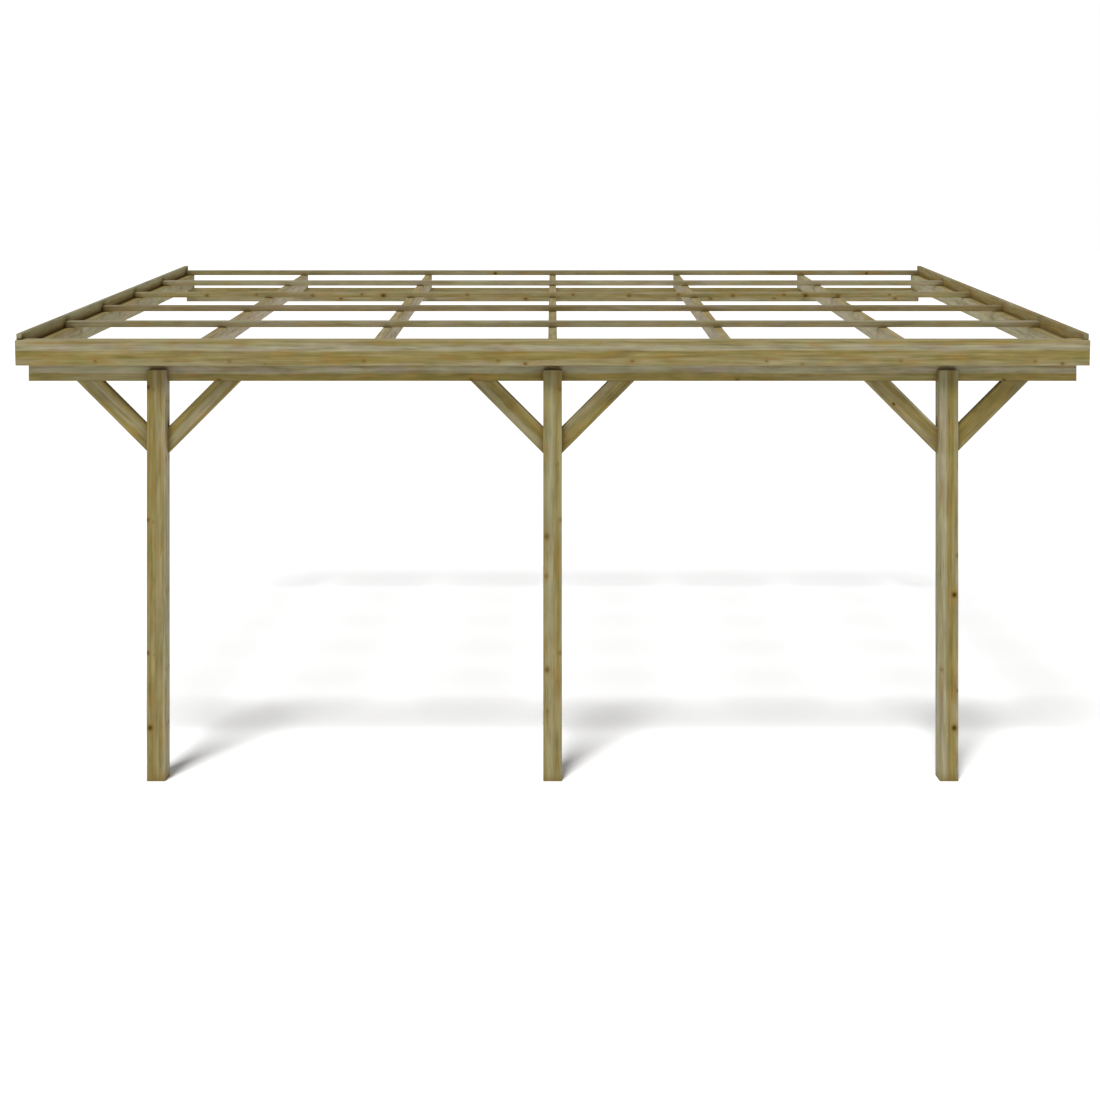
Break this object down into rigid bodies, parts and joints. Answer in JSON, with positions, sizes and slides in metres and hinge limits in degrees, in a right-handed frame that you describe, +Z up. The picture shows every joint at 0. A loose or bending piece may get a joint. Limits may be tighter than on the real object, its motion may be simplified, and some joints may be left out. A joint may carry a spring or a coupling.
{
  "type": "lean-to carport frame",
  "caption": "Open lean-to carport frame in treated pine: front posts with knee braces carry an eaves beam, and rafters with battens rise to a plate on the wall.",
  "frame": {"origin": "centre of the wall plate's back face, which lies on the wall", "axes": "+X along the wall, +Y into the wall, +Z up; the open front faces -Y"},
  "size_m": [5.12, 3.3591, 2.4219],
  "materials": {
    "treated_pine": "planed, pressure-treated, matte"
  },
  "bodies": {
    "root": {"batten_1": "treated_pine", "batten_2": "treated_pine", "batten_3": "treated_pine", "batten_4": "treated_pine", "batten_5": "treated_pine", "batten_6": "treated_pine", "brace_left_post_left": "treated_pine", "brace_left_post_right": "treated_pine", "brace_middle_post_left": "treated_pine", "brace_middle_post_right": "treated_pine", "brace_right_post_left": "treated_pine", "brace_right_post_right": "treated_pine", "eaves_beam": "treated_pine", "front_fascia": "treated_pine", "post_left": "treated_pine", "post_middle": "treated_pine", "post_right": "treated_pine", "rafter_1": "treated_pine", "rafter_2": "treated_pine", "rafter_3": "treated_pine", "rafter_4": "treated_pine", "rafter_5": "treated_pine", "rafter_6": "treated_pine", "rafter_7": "treated_pine", "side_board_left": "treated_pine", "side_board_right": "treated_pine", "wall_plate": "treated_pine"}
  },
  "joints": []
}
